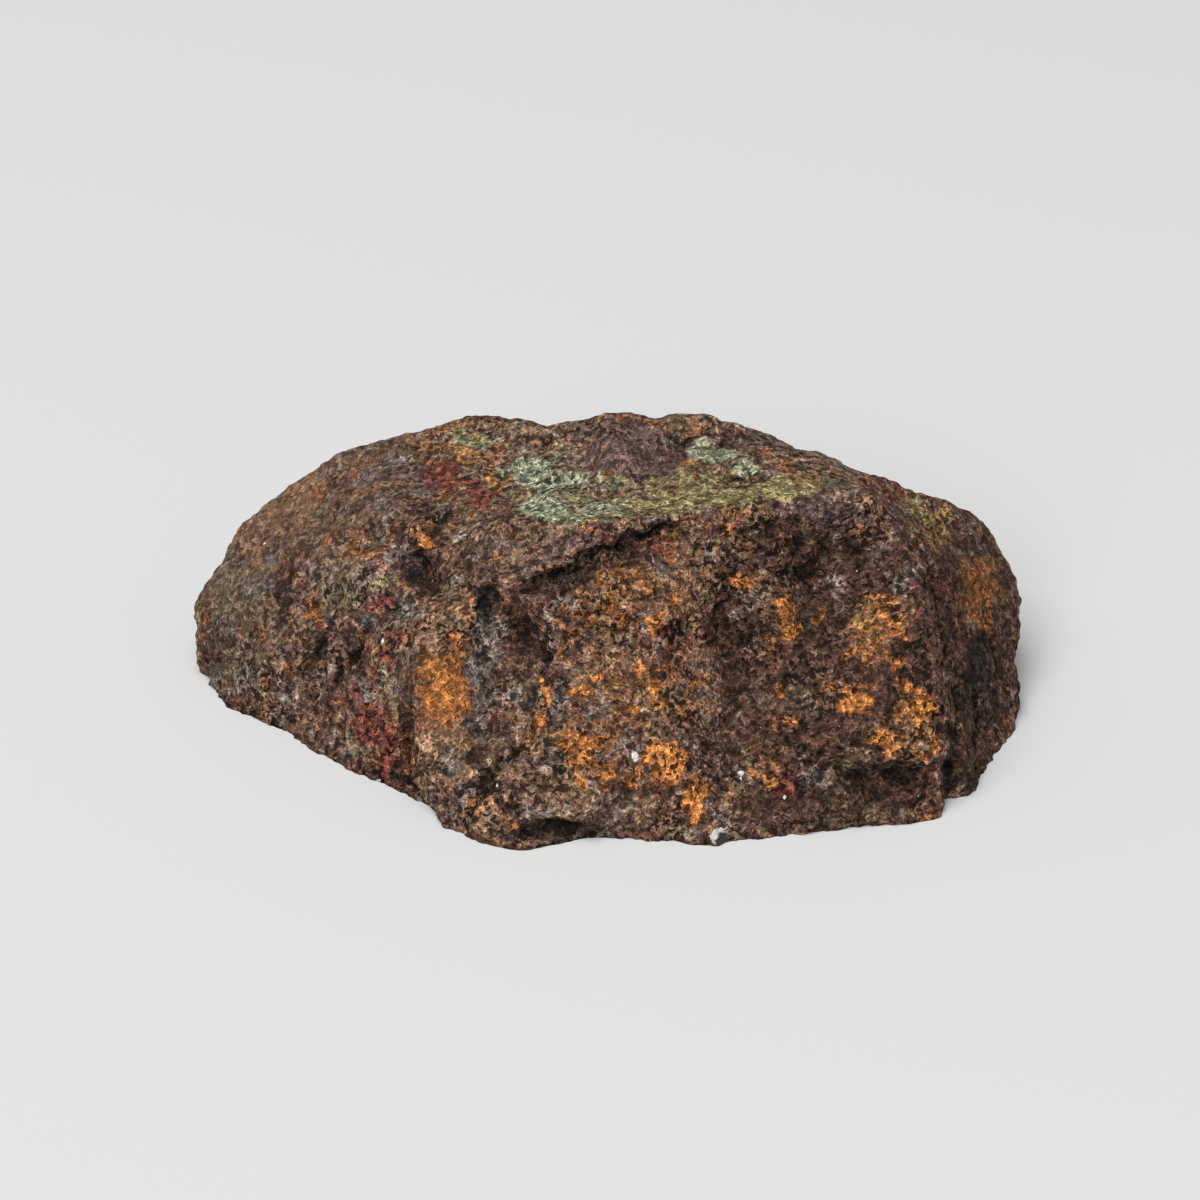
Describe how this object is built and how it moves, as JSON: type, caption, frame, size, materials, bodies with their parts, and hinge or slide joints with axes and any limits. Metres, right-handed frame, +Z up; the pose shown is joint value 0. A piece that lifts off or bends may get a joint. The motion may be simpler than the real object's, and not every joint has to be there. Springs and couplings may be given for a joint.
{
  "type": "meteorite end cut",
  "caption": "Rough rusted stony-iron meteorite end piece with a hollow crown, a ledge over a steep front and a flat sawn base that it rests on.",
  "frame": {"origin": "under the middle of the stone, on the plane of the sawn face", "axes": "+X along the stone's length, to the right as seen from its steep front; +Y from the front to the back; +Z up, away from the sawn face"},
  "size_m": [0.0522, 0.0406, 0.0169],
  "materials": {
    "crust": "matte"
  },
  "bodies": {
    "root": {"meteorite": "crust"}
  },
  "joints": []
}
